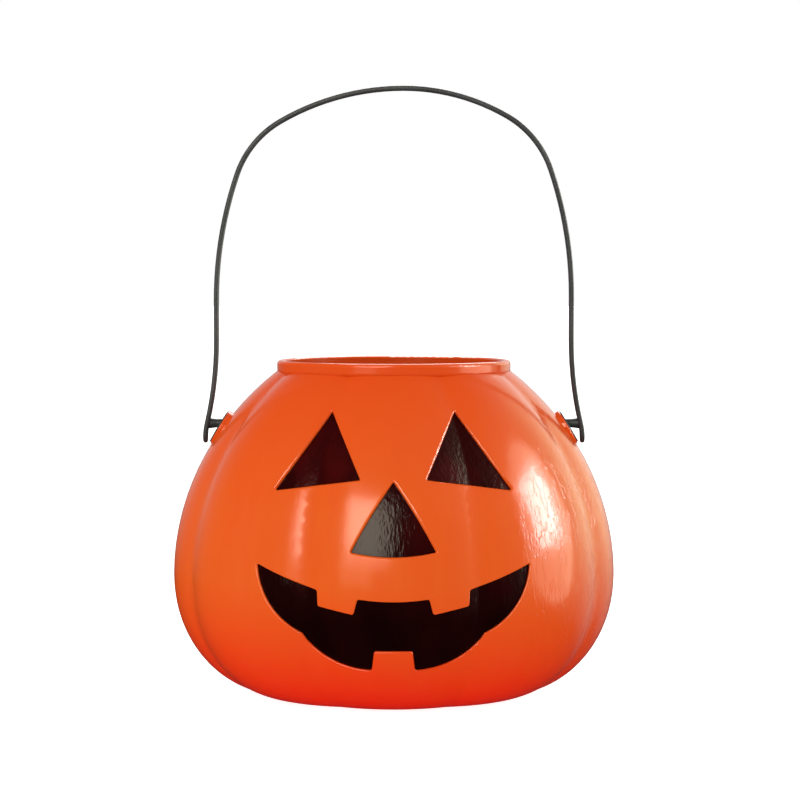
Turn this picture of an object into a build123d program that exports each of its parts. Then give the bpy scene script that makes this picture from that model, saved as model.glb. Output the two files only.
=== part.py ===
from build123d import *
from math import acos, asin, cos, degrees, hypot, pi, radians, sin, sqrt
import os

os.makedirs("parts", exist_ok=True)

# A lobed pumpkin pail with a recessed face and a swinging strap handle.
# Millimetres. +Z is up, the face looks along -Y and the pail rests on Z = 0.

# Pumpkin shell: two elliptic arcs meet at the widest height
body_radius = 108.0
equator_height = 57.0
base_radius = 62.7
base_turn = 86.0
shoulder_half_width = 148.0
shoulder_half_height = 132.5
neck_radius = 57.5
wall = 1.6

# Lobes: arcs round the body, with the groove between two of them rounded off
lobe_count = 8
lobe_radius = 72.0
groove_rise = 0.1

# Collar bead round the mouth, and the hole through it
collar_radius = 57.2
collar_thickness = 3.6
collar_height = 6.2
collar_sink = 0.8
collar_round = 1.6
mouth_radius = 53.8

# Pushed-up panel under the base
dish_radius = 46.0
dish_depth = 2.4
dish_draft = 3.0
dish_round = 1.2

# Face: depth of the recesses, their black panels and their corners
recess_depth = 2.4
panel_thickness = 0.8
panel_clearance = 0.12
eye_corner_round = 0.4
nose_corner_round = 0.4
mouth_corner_round = 1.2
mouth_tip_round = 0.4
eye_lip_round = 1.0
nose_lip_round = 1.0
mouth_lip_round = 0.7

# Face outlines as shares of the body radius: across from the middle, up from the equator
eye_apex_shares = (0.262, 0.768)
eye_outer_shares = (0.504, 0.441)
eye_inner_shares = (0.140, 0.494)
nose_apex_shares = (0.0, 0.487)
nose_side_shares = (0.096, 0.344)
nose_corner_shares = (0.179, 0.197)
nose_bottom_shares = (0.0, 0.179)
mouth_tip_shares = (0.578, 0.134)
mouth_brow_shares = (0.460, 0.082)
tooth_outer_top_shares = (0.323, 0.035)
tooth_outer_foot_shares = (0.320, -0.033)
tooth_inner_foot_shares = (0.168, -0.064)
tooth_inner_top_shares = (0.151, 0.003)
mouth_middle_shares = (0.0, -0.007)
cheek_bend_shares = (0.512, -0.053)
cheek_end_shares = (0.386, -0.154)
chin_start_shares = (0.367, -0.181)
chin_bend_shares = (0.252, -0.267)
chin_end_shares = (0.091, -0.306)
low_tooth_top_shares = (0.081, -0.220)

# Grommets: flanged bushes on bosses raised on the shoulder, where the handle swings
pivot_height = 131.0
boss_tilt = 31.0
boss_rise = 1.7
boss_radius = 9.2
boss_root = 6.0
boss_round = 0.6
flange_radius = 8.6
flange_thickness = 0.6
flange_round = 0.2
flange_drop = 2.0
barrel_radius = 4.0
barrel_reach = 6.6
barrel_clearance = 0.1

# Handle: a flat strap over the pail on two pegs with split snap ends
handle_top = 294.6
handle_lean = 4.7
handle_half_span = 86.9
crown_turn = 30.0
shoulder_turn = 41.0
strap_shoulder_radius = 47.5
haunch_radius = 190.0
flare_top = 172.0
flare_radius = 180.0
tail_radius = 30.0
tail_drop = 9.6
strap_width = 8.0
strap_thickness = 2.2
strap_round = 0.9
peg_radius = 2.1
peg_clearance = 0.08
peg_root_radius = 2.7
peg_root_length = 5.0
snap_play = 0.4
snap_radius = 2.8
snap_tip_radius = 1.7
snap_length = 3.4
snap_slot = 0.9
snap_slot_depth = 6.0

# Share of the way from a lobe's crest to its groove for the points of a section
section_step_shares = (0.0, 0.28, 0.55, 0.78, 0.91, 0.965, 0.99)
# Shares of a lip's radius to try in turn
lip_try_shares = (1.0, 0.85, 0.7, 0.5)
lower_sections = 5
upper_sections = 5

# Round shapes stand on their datum or hang from it
standing = (Align.CENTER, Align.CENTER, Align.MIN)
hanging = (Align.CENTER, Align.CENTER, Align.MAX)

half_lobe = pi / lobe_count
neck_turn = acos(1 - (body_radius - neck_radius) / shoulder_half_width)
lower_half_width = (body_radius - base_radius) / (1 - cos(radians(base_turn)))
lower_half_height = equator_height / sin(radians(base_turn))


def profile(turn, inset=0):
    """Crest radius and height on the side profile, a turn up from the equator, set in along its normal."""
    half_width = shoulder_half_width if turn > 0 else lower_half_width
    half_height = shoulder_half_height if turn > 0 else lower_half_height
    out = half_height * cos(turn)
    up = half_width * sin(turn)
    share = inset / hypot(out, up)
    radius = body_radius - half_width + half_width * cos(turn) - out * share
    height = equator_height + half_height * sin(turn) - up * share
    return radius, height


def lobe_arc(turn):
    """Distance from the axis to one lobe's arc, a turn away from its crest."""
    middle = body_radius - lobe_radius
    return middle * cos(turn) + sqrt(lobe_radius**2 - (middle * sin(turn)) ** 2)


def lobe_share(turn):
    """The lobed outline as a share of its crest radius: two neighbour arcs, rounded where they meet."""
    own = lobe_arc(turn)
    other = lobe_arc(2 * half_lobe - turn)
    return ((own + other) / 2 + sqrt(((own - other) / 2) ** 2 + groove_rise**2)) / body_radius


def section(radius, height):
    """One lobed ring of the shell, starting from the crest at the back."""
    steps = [share * half_lobe for share in section_step_shares]
    turns = steps + [half_lobe] + [2 * half_lobe - step for step in steps[:0:-1]]
    points = []
    for lobe in range(lobe_count):
        for turn in turns:
            reach = radius * lobe_share(min(turn, 2 * half_lobe - turn))
            heading = pi / 2 + 2 * half_lobe * lobe + turn
            points.append((reach * cos(heading), reach * sin(heading), height))
    return Wire([Edge.make_spline([Vector(*point) for point in points], periodic=True)])


def pumpkin(inset):
    """The whole pumpkin body, set in from its outer skin."""
    lower = [-radians(base_turn) * (1 - step / lower_sections) for step in range(lower_sections)]
    upper = [neck_turn * step / upper_sections for step in range(upper_sections + 1)]
    return Solid.make_loft([section(*profile(turn, inset)) for turn in lower + upper])


def on_face(shares, side=1):
    """A point of a face outline, in the plane of the face."""
    return (side * shares[0] * body_radius, equator_height + shares[1] * body_radius)


def eye_outline(side):
    """Slanted triangle of one eye."""
    corners = [on_face(shares, side) for shares in (eye_apex_shares, eye_outer_shares, eye_inner_shares)]
    return make_face(Polyline(*corners, close=True))


def nose_outline():
    """Triangle with bowed sides and a hanging lower edge."""
    left = on_face(nose_corner_shares, -1)
    right = on_face(nose_corner_shares)
    top = on_face(nose_apex_shares)
    under = ThreePointArc(right, on_face(nose_bottom_shares), left)
    left_side = ThreePointArc(left, on_face(nose_side_shares, -1), top)
    right_side = ThreePointArc(top, on_face(nose_side_shares), right)
    return make_face([left_side, right_side, under])


def mouth_outline():
    """Toothed grin: two teeth above and one below."""
    tip = on_face(mouth_tip_shares)
    tooth_top = on_face(tooth_outer_top_shares)
    tooth_foot = on_face(tooth_outer_foot_shares)
    tooth_heel = on_face(tooth_inner_foot_shares)
    gap = on_face(tooth_inner_top_shares)
    cheek_end = on_face(cheek_end_shares)
    chin_start = on_face(chin_start_shares)
    chin_end = on_face(chin_end_shares)
    low_top = on_face(low_tooth_top_shares)
    half = [
        ThreePointArc(tip, on_face(mouth_brow_shares), tooth_top),
        Line(tooth_top, tooth_foot),
        Line(tooth_foot, tooth_heel),
        Line(tooth_heel, gap),
        ThreePointArc(tip, on_face(cheek_bend_shares), cheek_end),
        Line(cheek_end, chin_start),
        ThreePointArc(chin_start, on_face(chin_bend_shares), chin_end),
        Line(chin_end, low_top),
    ]
    other_half = [mirror(edge, about=Plane.YZ) for edge in half]
    gap_top = ThreePointArc(gap, on_face(mouth_middle_shares), (-gap[0], gap[1]))
    low_edge = Line(low_top, (-low_top[0], low_top[1]))
    outline = make_face(half + other_half + [gap_top, low_edge])
    corners = outline.vertices().sort_by(Axis.X)
    outline = fillet(corners[1:-1], mouth_corner_round)
    tips = outline.vertices().sort_by(Axis.X)
    return fillet([tips[0], tips[-1]], mouth_tip_round)


def prism(outline):
    """The outline carried from the middle of the pail out through its front."""
    return extrude(Plane.XZ * outline, amount=2 * body_radius)


def soften(shape, edges, radius):
    """Round the edges, with a smaller radius where the full one leaves no room."""
    for share in lip_try_shares:
        try:
            return shape.fillet(share * radius, edges)
        except ValueError:
            continue
    return shape


face_outlines = {
    "left_eye": fillet(eye_outline(-1).vertices(), eye_corner_round),
    "right_eye": fillet(eye_outline(1).vertices(), eye_corner_round),
    "nose": fillet(nose_outline().vertices(), nose_corner_round),
    "mouth": mouth_outline(),
}
lip_rounds = {
    "left_eye": eye_lip_round,
    "right_eye": eye_lip_round,
    "nose": nose_lip_round,
    "mouth": mouth_lip_round,
}

# Press the face into the skin, and the same shapes into the inside, so that the wall keeps its thickness
recess_floor = pumpkin(recess_depth)
recess_back = pumpkin(recess_depth + wall)
body = pumpkin(0) - [prism(outline) - recess_floor for outline in face_outlines.values()]
cavity = pumpkin(wall) - [prism(offset(outline, wall)) - recess_back for outline in face_outlines.values()]

# Round the lip of each recess: the loop of the skin nearest its outline
for name, outline in face_outlines.items():
    skin = max(body.faces(), key=lambda face: face.area)
    goal = outline.bounding_box().center()
    loops = [(wire.bounding_box().center(), wire) for wire in skin.inner_wires()]
    lip = min(loops, key=lambda loop: hypot(loop[0].X - goal.X, loop[0].Z - goal.Y))[1]
    body = soften(body.solid(), lip.edges(), lip_rounds[name])

# Collar bead on the shoulder, with the mouth hole through both
neck_height = profile(neck_turn)[1]
collar_middle = neck_height - collar_sink + collar_height / 2
bead = RectangleRounded(collar_thickness, collar_height, collar_round)
collar = revolve(Plane.XZ * Pos(collar_radius - collar_thickness / 2, collar_middle) * bead, Axis.Z)
mouth_floor = profile(neck_turn, wall)[1] - wall
mouth_hole = Pos(0, 0, mouth_floor) * Cylinder(mouth_radius, 2 * collar_height + wall, align=standing)


def dish(grow):
    """The pushed-up panel under the base, grown by the wall for the floor inside."""
    panel = Cone(dish_radius + grow, dish_radius - dish_draft + grow, dish_depth + grow, align=standing)
    return fillet(panel.edges().sort_by(Axis.Z)[-1], dish_round)


# Flat seats for the grommets, raised off the shoulder at the pivot height
pivot_turn = asin((pivot_height - equator_height) / shoulder_half_height)
seat_x = profile(pivot_turn)[0] + boss_rise
seat_facing = (cos(radians(boss_tilt)), 0, sin(radians(boss_tilt)))
seat = Plane(origin=(seat_x, 0, pivot_height), x_dir=(0, 1, 0), z_dir=seat_facing)


def on_seat(plate, depth=0):
    """A round plate set on the seat, or a depth under it, a little down the slope from the swing axis."""
    return seat * Pos(0, -flange_drop, -depth) * plate


def across(radius, inner_x, outer_x):
    """A round bar along the swing axis on the right side."""
    bar = Cylinder(radius, outer_x - inner_x, align=standing)
    return Pos(inner_x, 0, pivot_height) * Rot(0, 90, 0) * bar


def both_sides(part):
    """A right-hand shape and its mirror image."""
    return [part, mirror(part, about=Plane.YZ)]


barrel_inner_x = seat_x - barrel_reach
barrel_outer_x = seat_x + barrel_reach
hole = across(barrel_radius + barrel_clearance, barrel_inner_x - barrel_reach, barrel_outer_x)
boss = Cylinder(boss_radius, boss_root, align=hanging)
boss = on_seat(fillet(boss.edges().sort_by(Axis.Z)[-1], boss_round))
pocket = on_seat(Cylinder(boss_radius - wall, boss_root, align=hanging), wall)
cavity = cavity - dish(wall) + [mouth_hole, *both_sides(pocket)]
shell = body - dish(0) + [collar, *both_sides(boss)] - [cavity, *both_sides(hole)]
export_step(shell, "parts/pumpkin_shell.step")

# Thin black panels on the floors of the recesses
panel_front = pumpkin(recess_depth - panel_thickness)
for name, outline in face_outlines.items():
    panel = (prism(offset(outline, -panel_clearance)) & panel_front) - recess_floor
    export_step(panel.solid(), f"parts/{name}_panel.step")

# Grommets: a flange on the seat and a barrel through the wall, bored for the peg
flange = Cylinder(flange_radius, flange_thickness, align=standing)
flange = on_seat(fillet(flange.edges().sort_by(Axis.Z)[-1], flange_round))
beyond = seat * Pos(0, 0, flange_thickness / 2) * Cylinder(flange_radius, 2 * barrel_reach, align=standing)
barrel = across(barrel_radius, barrel_inner_x, barrel_outer_x) - beyond
bore = across(peg_radius + peg_clearance, barrel_inner_x - barrel_reach, barrel_outer_x)
right_grommet, left_grommet = both_sides(flange + barrel - bore)
export_step(right_grommet, "parts/right_grommet.step")
export_step(left_grommet, "parts/left_grommet.step")

# Handle: one edge of the strap, from its crown down one side, a shift out from the middle line
haunch_turn = 90 - crown_turn - shoulder_turn
flare_turn = degrees(asin((flare_top - pivot_height) / flare_radius))
haunch_reach = haunch_radius * (1 - cos(radians(haunch_turn)))
shoulder_reach = strap_shoulder_radius * (cos(radians(haunch_turn)) - sin(radians(crown_turn)))


def strap_edge(side, shift):
    """Tangent arcs and straights from the crown to the tail."""
    reach = handle_half_span - side * handle_lean
    crown_radius = (reach - shoulder_reach - haunch_reach) / sin(radians(crown_turn))
    crown = JernArc((handle_lean, handle_top + shift), (side, 0), crown_radius + shift, -side * crown_turn)
    shoulder = JernArc(crown @ 1, crown % 1, strap_shoulder_radius + shift, -side * shoulder_turn)
    haunch = JernArc(shoulder @ 1, shoulder % 1, haunch_radius + shift, -side * haunch_turn)
    leg_x = (haunch @ 1).X
    leg = Line(haunch @ 1, (leg_x, flare_top))
    flare = JernArc(leg @ 1, leg % 1, flare_radius - shift, side * flare_turn)
    tail = JernArc(flare @ 1, flare % 1, tail_radius + shift, -side * flare_turn)
    end = Line(tail @ 1, ((tail @ 1).X, pivot_height - tail_drop))
    return [crown, shoulder, haunch, leg, flare, tail, end]


edges = []
tails = []
for side in (1, -1):
    outside = strap_edge(side, strap_thickness / 2)
    inside = strap_edge(side, -strap_thickness / 2)
    edges += outside + inside
    tails.append(Line(outside[-1] @ 1, inside[-1] @ 1))
strap = extrude(Plane.XZ * make_face(edges + tails), amount=strap_width / 2, both=True)

# Round tongues at the two ends, then every edge round the strap
tongue_height = handle_top - pivot_height + 2 * tail_drop
tongue = SlotOverall(tongue_height + strap_width, strap_width, rotation=90)
tongue_middle = pivot_height - tail_drop + (tongue_height + strap_width) / 2
strap = strap & extrude(Plane.YZ * Pos(0, tongue_middle) * tongue, amount=2 * handle_half_span, both=True)
ends = strap.edges().filter_by(Axis.X) + strap.edges().filter_by(Axis.Y)
strap = fillet([edge for edge in strap.edges() if edge not in ends], strap_round)

# Pegs with a thicker root at the strap and split snap ends
strap_x = handle_half_span + flare_radius * (1 - cos(radians(flare_turn)))
snap_x = barrel_inner_x - snap_play
snap_end_x = snap_x - snap_length


def taper(end_x, end_radius, tip_radius, length):
    """A cone along the swing axis on the right side, from its end in towards the middle."""
    cone = Cone(end_radius, tip_radius, length, align=standing)
    return Pos(end_x, 0, pivot_height) * Rot(0, -90, 0) * cone


peg = across(peg_radius, snap_x, strap_x) + taper(strap_x, peg_root_radius, peg_radius, peg_root_length)
snap = taper(snap_x, snap_radius, snap_tip_radius, snap_length)
slot = Pos(snap_end_x, 0, pivot_height) * Box(2 * snap_slot_depth, snap_slot, 2 * snap_radius + snap_slot)
handle = strap + both_sides(peg + snap - slot)
export_step(handle, "parts/carrying_handle.step")
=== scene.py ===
# %% [markdown]
# A pumpkin pail has three finishes: a glossy orange moulded shell, black lacquer on the floors of
# its face, and satin black plastic on the strap and its bushes. The shapes could be modelled again
# here, but the CAD frame already holds them, in metres, with the face looking along -Y. So we load
# that frame first. The dressed pail has to stay inside it.

import math

import bmesh
import bpy
from mathutils import Matrix

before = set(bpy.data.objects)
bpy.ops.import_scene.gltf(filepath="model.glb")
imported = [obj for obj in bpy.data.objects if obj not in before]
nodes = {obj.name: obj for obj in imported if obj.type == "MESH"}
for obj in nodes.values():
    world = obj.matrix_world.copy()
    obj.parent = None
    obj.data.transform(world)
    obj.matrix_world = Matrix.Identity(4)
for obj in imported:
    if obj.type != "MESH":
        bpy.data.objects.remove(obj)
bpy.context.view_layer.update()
print("CAD nodes:", sorted(nodes))

# %% [markdown]
# A finish is a tree of nodes, and a long tree is hard to follow as boxes and links. So one small
# class wraps an output socket. Plus, minus, times and abs add Math nodes, and `node` adds a node
# of any other kind: its settings go in first, then the values or links of its sockets.

# %% A socket that can be used in sums


class Wire:
    """One output socket of a node tree."""

    def __init__(self, tree, socket=None):
        self.tree = tree
        self.socket = socket

    def node(self, kind, settings=None, inputs=None, output=0):
        made = self.tree.nodes.new(kind)
        for name, value in (settings or {}).items():
            setattr(made, name, value)
        for name, value in (inputs or {}).items():
            if isinstance(value, Wire):
                self.tree.links.new(value.socket, made.inputs[name])
            else:
                made.inputs[name].default_value = value
        return Wire(self.tree, made.outputs[output] if made.outputs else None)

    def maths(self, operation, *values):
        return self.node("ShaderNodeMath", {"operation": operation}, dict(enumerate(values)))

    def __add__(self, other):
        return self.maths("ADD", self, other)

    __radd__ = __add__

    def __sub__(self, other):
        return self.maths("SUBTRACT", self, other)

    def __rsub__(self, other):
        return self.maths("SUBTRACT", other, self)

    def __mul__(self, other):
        return self.maths("MULTIPLY", self, other)

    __rmul__ = __mul__

    def __abs__(self):
        return self.maths("ABSOLUTE", self)


print("sums ready")

# %% [markdown]
# Every finish begins with an empty tree and the object's own coordinates in metres, so a pattern
# keeps its real size and stays put when the pail is seen from another side. It ends with one
# Principled shader, which can stand for plastic, lacquer and paper alike. What is the same all
# over the skin goes to the shader as a plain number, and what changes over it goes there as a link.

# %% Begin and end a finish


def begin(name):
    """A new material with an empty tree, and the object's coordinates in it."""
    material = bpy.data.materials.new(name)
    material.use_nodes = True
    material.node_tree.nodes.clear()
    place = Wire(material.node_tree).node("ShaderNodeTexCoord", output="Object")
    return material, place


def end(place, sockets):
    """Close the tree with a Principled shader."""
    shader = place.node("ShaderNodeBsdfPrincipled", inputs=sockets)
    place.node("ShaderNodeOutputMaterial", inputs={"Surface": shader})


def dress(material, *names):
    """Give CAD nodes their finish."""
    for name in names:
        nodes[name].data.materials.clear()
        nodes[name].data.materials.append(material)
    print(material.name, "on", ", ".join(names))


print("a finish can begin and end")

# %% [markdown]
# Moulded plastic is never quite even, so the finishes need patterns. Noise is the plainest one: a
# larger scale makes its spots smaller, and an `upright` below 1 draws them out upright. `spread`
# maps a value from one range to another and stops at the ends, so it makes a mask from a noise or
# a fade from a height.

# %% Patterns


def axes(place):
    """The X, Y and Z of a place or a direction, as three wires."""
    split = place.node("ShaderNodeSeparateXYZ", inputs={"Vector": place})
    return [Wire(place.tree, socket) for socket in split.socket.node.outputs]


def noise(place, scale, upright=1.0, detail=3.0, rough=0.5):
    spot = place.node("ShaderNodeMapping", inputs={"Vector": place, "Scale": (1, 1, upright)})
    sockets = {"Vector": spot, "Scale": scale, "Detail": detail, "Roughness": rough}
    return spot.node("ShaderNodeTexNoise", {"noise_dimensions": "3D"}, sockets)


RISING, FALLING = (0.0, 1.0), (1.0, 0.0)


def spread(value, band, result=RISING):
    sockets = {"Value": value}
    sockets["From Min"], sockets["From Max"] = band
    sockets["To Min"], sockets["To Max"] = result
    return value.node("ShaderNodeMapRange", {"clamp": True}, sockets)


print("patterns ready")

# %% [markdown]
# The shell is blown from a soft tube of plastic against a cold mould. The tube drags on the mould
# as it swells, so the skin has long shallow waves, small wrinkles and a fine orange-peel grain.
# Thin creases run up and down, deepest on the right-hand lobes below the shoulder, and the mould's
# two halves leave a faint seam from side to side. All this could be sculpted, but it is a fraction
# of a millimetre deep, so a Bump node is enough. The creases are the places where a drawn-out noise
# crosses its middle value, which gives long wandering lines instead of dots.

# %% Skin of the shell


def creases(value, width):
    """Thin lines where a noise crosses its middle value."""
    middle = 0.5
    return spread(abs(value - middle), (0.0, width), FALLING)


def bumps(height, strength, distance):
    sockets = {"Height": height, "Strength": strength, "Distance": distance}
    return height.node("ShaderNodeBump", inputs=sockets)


wave_share, crease_share, wrinkle_share, grain_share, seam_share = 0.32, 0.21, 0.05, 0.03, 0.25

orange, place = begin("orange_moulded")
sideways, across, height = axes(place)
wave = noise(place, scale=45.0, upright=0.16, detail=2.0)
wrinkle = noise(place, scale=420.0, upright=0.28, detail=2.0)
grain = noise(place, scale=900.0, upright=0.8, detail=2.0)
crease = creases(noise(place, scale=250.0, upright=0.14, rough=0.6), width=0.032)
patchy = spread(noise(place, scale=38.0, upright=0.5, detail=2.0), (0.24, 0.42))
right_lobes = spread(sideways, (0.056, 0.068), (0.10, 1.0))
below_shoulder = spread(height, (0.105, 0.125), (1.0, 0.3))
cut = crease * patchy * (right_lobes * below_shoulder)
seam = spread(abs(across), (0.0002, 0.0006), FALLING)
skin = wave * wave_share - cut * crease_share + wrinkle * wrinkle_share
skin_bumps = bumps(skin + grain * grain_share + seam * seam_share, strength=0.5, distance=0.0006)
print("skin of the shell: waves, creases, wrinkles, grain and the mould's seam")

# %% [markdown]
# The pigment is a strong orange. Towards the base it turns a deeper, darker red, and this is painted
# shade: it stands for the light that falls off towards the bottom. It is a little redder again at the
# shoulder. Faint streaks run the way the tube was drawn, and broad soft blotches lie over them. The
# colours could be painted by hand, but fades over the height and a few masks hold on every side of
# the pail.

# %% Pigment of the shell, and painted shade at its base

# A Mix node has a set of sockets for each kind of data, and these are the ones for colours.
MIX_FACTOR, MIX_FIRST, MIX_SECOND, MIX_RESULT = 0, 6, 7, 2


def tint(mask, first, second):
    """The first colour where the mask is 0, the second where it is 1."""
    sockets = {MIX_FACTOR: mask, MIX_FIRST: first, MIX_SECOND: second}
    return mask.node("ShaderNodeMix", {"data_type": "RGBA"}, sockets, MIX_RESULT)


body_colour = (0.800, 0.112, 0.012, 1)
# Painted shade: the base colour is a deeper red that stands for the light falling off towards the
# bottom.
shaded_base_colour = (0.830, 0.004, 0.0001, 1)
shoulder_colour = (0.775, 0.078, 0.008, 1)
blotch_colour = (0.790, 0.088, 0.010, 1)

# Painted shade: this mask tints the lower part with the base colour, and keeps the streaks and
# blotches off it.
painted_shade_low = spread(height, (0.000, 0.062), FALLING)
high = spread(height, (0.095, 0.150))
streak = spread(noise(place, scale=130.0, upright=0.05), (0.40, 0.68), (0.0, 0.30))
blotch = spread(noise(place, scale=15.0, upright=0.5), (0.40, 0.66), (0.0, 0.45))
pigment_and_shade = tint(high, tint(painted_shade_low, body_colour, shaded_base_colour), shoulder_colour)
pigment_and_shade = tint(streak * (1 - painted_shade_low), pigment_and_shade, shoulder_colour)
pigment_and_shade = tint(blotch * (1 - painted_shade_low), pigment_and_shade, blotch_colour)
print("pigment: body", body_colour[:3], "base", shaded_base_colour[:3], "shoulder", shoulder_colour[:3])

# %% [markdown]
# A pail is set down many times, so the ring that it stands on is scuffed paler and duller, and the
# top of its rim too, though more faintly. Worn edges are often found with a Geometry node, but here
# the height alone tells where they are. With the scuffs in place the finish can end.

# %% Scuffs, and the shell's finish
scuff_colour = (0.830, 0.240, 0.090, 1)
rim_wear, scuff_paleness, scuff_dullness = 0.3, 0.6, 0.25

foot = spread(height, (0.0001, 0.0008), FALLING)
rim = spread(height, (0.1606, 0.1618))
scratched = spread(noise(place, scale=420.0, detail=4.0, rough=0.7), (0.52, 0.70))
rubbed = scratched * (foot + rim * rim_wear)
end(
    place,
    {
        "Base Color": tint(rubbed * scuff_paleness, pigment_and_shade, scuff_colour),
        "Roughness": spread(wave, (0.3, 0.7), (0.14, 0.18)) + rubbed * scuff_dullness,
        "Normal": skin_bumps,
        "IOR": 1.47,
        "Specular IOR Level": 0.24,
    },
)
dress(orange, "pumpkin_shell")

# %% [markdown]
# The floors of the eyes, nose and grin are lacquered black. The coat is thin and glossy, so ripples
# and wrinkles break up its reflections. Its dark red-brown fades with height to near black: this is
# painted light and shade, lighter high up in the eyes and darker low in the grin, where the floor
# lies in shade, and random patches of thinner coat let a breath of the orange show through. One
# finish in the pail's own coordinates serves all four floors, because its fade over the height runs
# on from one to the next.

# %% Black lacquer, with painted light and shade over its height
# Painted light and shade: the second colour is the lit dark red-brown high in the eyes, the first the
# near black of the shaded grin; the lighter one also stands for thinner coat, the darker for thicker.
shaded_and_thick_colour = (0.0030, 0.0004, 0.0005, 1)
lit_and_thin_colour = (0.0560, 0.0020, 0.0020, 1)
least_thin, patchiness = 0.4, 0.6
ripple_share, wrinkle_share = 0.25, 0.70

lacquer, place = begin("black_lacquer")
height = axes(place)[2]
patch = spread(noise(place, scale=55.0, upright=0.35), (0.42, 0.72))
# Painted light and shade: the fade over the height makes the floors lighter high up in the eyes and
# darker low in the grin, where the floor lies in shade; random patches of thinner coat lie over it.
shade_and_thin_coat = spread(height, (0.045, 0.115), (0.15, 1.0)) * (least_thin + patchiness * patch)
ripple = noise(place, scale=60.0, upright=0.3, detail=2.0)
wrinkle = noise(place, scale=560.0, upright=0.3, detail=2.0, rough=0.6)
coat = ripple * ripple_share + wrinkle * wrinkle_share
end(
    place,
    {
        "Base Color": tint(shade_and_thin_coat, shaded_and_thick_colour, lit_and_thin_colour),
        "Roughness": spread(ripple, (0.3, 0.7), (0.13, 0.19)),
        "Normal": bumps(coat, strength=0.6, distance=0.0006),
        "IOR": 1.5,
        "Specular IOR Level": 0.09,
    },
)
dress(lacquer, "left_eye_panel", "right_eye_panel", "nose_panel", "mouth_panel")

# %% [markdown]
# The strap and its bushes are moulded in black plastic with a satin skin. A very fine grain breaks
# up the highlights, and handling has left the black greyer and duller in patches. One noise drives
# both the grey and the dullness, because rubbing brings them together.

# %% Satin black strap
clean_black = (0.036, 0.036, 0.037, 1)
handled_black = (0.060, 0.060, 0.061, 1)

satin, place = begin("satin_black")
handled = noise(place, scale=40.0, detail=4.0)
fine_grain = noise(place, scale=1500.0, detail=2.0)
end(
    place,
    {
        "Base Color": tint(spread(handled, (0.4, 0.7)), clean_black, handled_black),
        "Roughness": spread(handled, (0.3, 0.7), (0.38, 0.50)),
        "Normal": bumps(fine_grain, strength=0.25, distance=0.0002),
        "IOR": 1.48,
        "Specular IOR Level": 0.16,
    },
)
dress(satin, "carrying_handle", "left_grommet", "right_grommet")

# %% [markdown]
# The pail stands on a pale table that glows, so it comes out white, as a light table in a studio
# does. It could be a curved backdrop, but the room behind it is white too, so one flat face is
# enough. It lies a hair below the pail, because two faces at the same height show through each
# other. It is hidden from reflections and from bounced soft light, or its glow would wash out the
# deep orange of the lower half.

# %% Light table
table_half, table_drop, table_glow = 12.0, 0.0002, 0.92
paper_grey, paper_pale = (0.60, 0.60, 0.60, 1), (0.64, 0.64, 0.64, 1)

sheet = bmesh.new()
lowered = Matrix.Translation((0, 0, -table_drop))
bmesh.ops.create_grid(sheet, x_segments=1, y_segments=1, size=table_half, matrix=lowered)
table_mesh = bpy.data.meshes.new("light_table")
sheet.to_mesh(table_mesh)
sheet.free()
table = bpy.data.objects.new("light_table", table_mesh)
bpy.context.collection.objects.link(table)

paper, place = begin("pale_table")
end(
    place,
    {
        "Base Color": tint(noise(place, scale=40.0), paper_grey, paper_pale),
        "Roughness": 0.8,
        "Emission Color": (1, 1, 1, 1),
        "Emission Strength": table_glow,
    },
)
table.data.materials.append(paper)
table.visible_glossy = False
table.visible_diffuse = False
print("table:", 2 * table_half, "m wide")

# %% [markdown]
# A glossy skin mirrors its room, so a plain white room would turn the pail pale. The Light Path
# node tells one kind of ray from another, which lets us build three rooms in one. The camera sees
# plain white. Soft light sees an even glow, a little weaker at the right. The gloss sees white
# behind the pail, which gives pale edges, a yellowish veil at the right, and next to nothing in
# front on the left and below, which keeps the orange deep. A picture of a studio could stand in for
# such a room, but a few masks are easier to steer. A direction's X, Y and Z run from -1 to 1: right,
# back and up are positive.

# %% Room
plain_white = (1, 1, 1, 1)
veil_colour = (0.90, 0.95, 0.60, 1)
veil_strength = 1.6

bpy.context.scene.view_settings.view_transform = "Standard"
world = bpy.data.worlds.new("white_room")
bpy.context.scene.world = world
world.use_nodes = True
world.node_tree.nodes.clear()
room = Wire(world.node_tree)
side, back, up = axes(room.node("ShaderNodeTexCoord", output="Generated"))
seen = room.node("ShaderNodeLightPath", output="Is Camera Ray")
soft = room.node("ShaderNodeLightPath", output="Is Diffuse Ray")
mirrored = 1 - seen - soft

even = spread(side, (0.20, 0.90), (1.04, 0.78))
behind = spread(back, (0.40, 0.90), (0.02, 1.0)) * spread(side, (-0.60, 0.20), (0.35, 1.0))
glow = behind * spread(up, (-0.12, 0.08), (0.03, 1.0)) * spread(up, (0.35, 0.75), (1.0, 0.15))
beside = spread(side, (0.20, 0.60)) * spread(back, (-0.75, -0.10))
veil = beside * spread(up, (-0.38, 0.04)) * spread(up, (0.60, 0.90), (1.0, 0.2))
backdrop = room.node(
    "ShaderNodeBackground",
    inputs={
        "Color": tint(mirrored * veil, plain_white, veil_colour),
        "Strength": seen + soft * even + mirrored * (glow + veil * veil_strength),
    },
)
room.node("ShaderNodeOutputWorld", inputs={"Surface": backdrop})
print("room:", len(world.node_tree.nodes), "nodes")

# %% [markdown]
# Two kinds of lamp do the rest. Fills light the surface and are hidden from reflections, so they
# leave no spots on the gloss. Cards show in reflections alone. A bright one at the right, with a wide
# yellowish halo round it, makes the highlight on the right-hand lobe. One in front on the left, with
# a low one under it, makes the streak beside the groove and the sheen beside the nose. One behind
# and above catches the lips of the face. One lamp could do both jobs, but then neither the shading
# nor the highlights could be set without changing the other.

# %% A softbox
aim_height = 0.09


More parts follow.
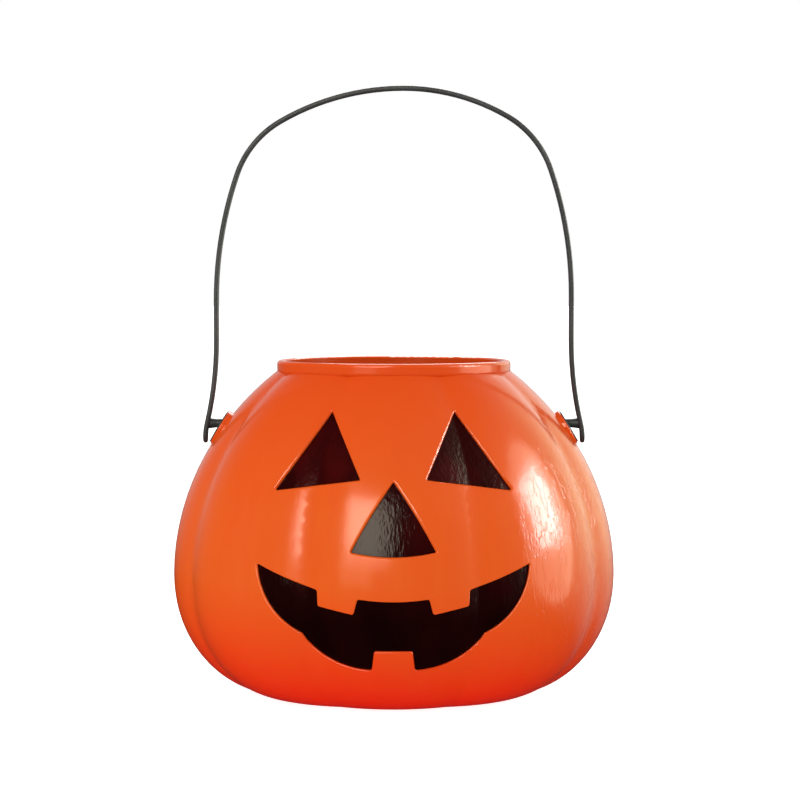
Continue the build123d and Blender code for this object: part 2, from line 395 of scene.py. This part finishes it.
def softbox(name, turn, rise, far, width, tall, power, colour, shape):
    """A soft lamp that is aimed at the pail."""
    lamp = bpy.data.lights.new(name, "AREA")
    lamp.shape = shape
    lamp.size = width
    lamp.size_y = tall
    lamp.energy = power
    lamp.color = colour
    box = bpy.data.objects.new(name, lamp)
    bpy.context.collection.objects.link(box)
    turned, raised = math.radians(turn), math.radians(rise)
    flat = far * math.cos(raised)
    lifted = aim_height + far * math.sin(raised)
    box.location = (flat * math.sin(turned), -flat * math.cos(turned), lifted)
    box.rotation_euler = (math.radians(90 - rise), 0, turned)
    return box


print("softboxes aim", aim_height, "m above the table")

# %% Fills and cards
white = (1.0, 1.0, 1.0)

# Name, degrees turned from the front to the right, degrees raised, distance, width and height in
# metres, watts, colour and shape.
fills = (
    ("front_fill", 10, 60, 1.8, 1.6, 1.0, 1.6, white, "RECTANGLE"),
    ("left_fill", -90, 5, 1.4, 0.9, 0.9, 1.4, white, "RECTANGLE"),
)
cards = (
    ("right_card", 87, 20.5, 1.2, 0.56, 0.52, 29.0, white, "RECTANGLE"),
    ("right_halo", 88, 15, 1.3, 1.20, 1.45, 23.0, (0.92, 0.95, 0.70), "ELLIPSE"),
    ("left_card", -20, 23, 1.5, 0.86, 0.72, 32.0, (1.0, 0.96, 0.78), "RECTANGLE"),
    ("left_low_card", -28, 4, 1.5, 0.60, 0.30, 1.5, (1.0, 0.92, 0.70), "RECTANGLE"),
    ("back_card", 171, 43, 1.4, 0.80, 0.70, 16.5, white, "RECTANGLE"),
)
for fill in fills:
    softbox(*fill).visible_glossy = False
for card in cards:
    softbox(*card).visible_diffuse = False
print("lamps:", [lamp.name for lamp in bpy.data.lights])

# %% [markdown]
# The camera stands 1.3 m in front of the pail, a little above its rim, and looks down by about
# three degrees. The focal length could be found by trial, but here it is worked out from the scale
# of the picture: about half a millimetre at the middle of the pail is one picture point.

# %% Camera
distance, side_step, eye_height, tilt_down = 1.3, 0.0030, 0.2089, 2.93
point_size, picture_points = 0.00049, 800.0
sensor, far_limit = 36.0, 60.0

lens = bpy.data.cameras.new("front_camera")
lens.sensor_width = sensor
lens.lens = sensor * distance / point_size / picture_points
lens.clip_end = far_limit
camera = bpy.data.objects.new("front_camera", lens)
bpy.context.collection.objects.link(camera)
camera.location = (side_step, -distance, eye_height)
camera.rotation_euler = (math.radians(90.0 - tilt_down), 0, 0)
bpy.context.scene.camera = camera
print("lens:", round(lens.lens, 1), "mm")
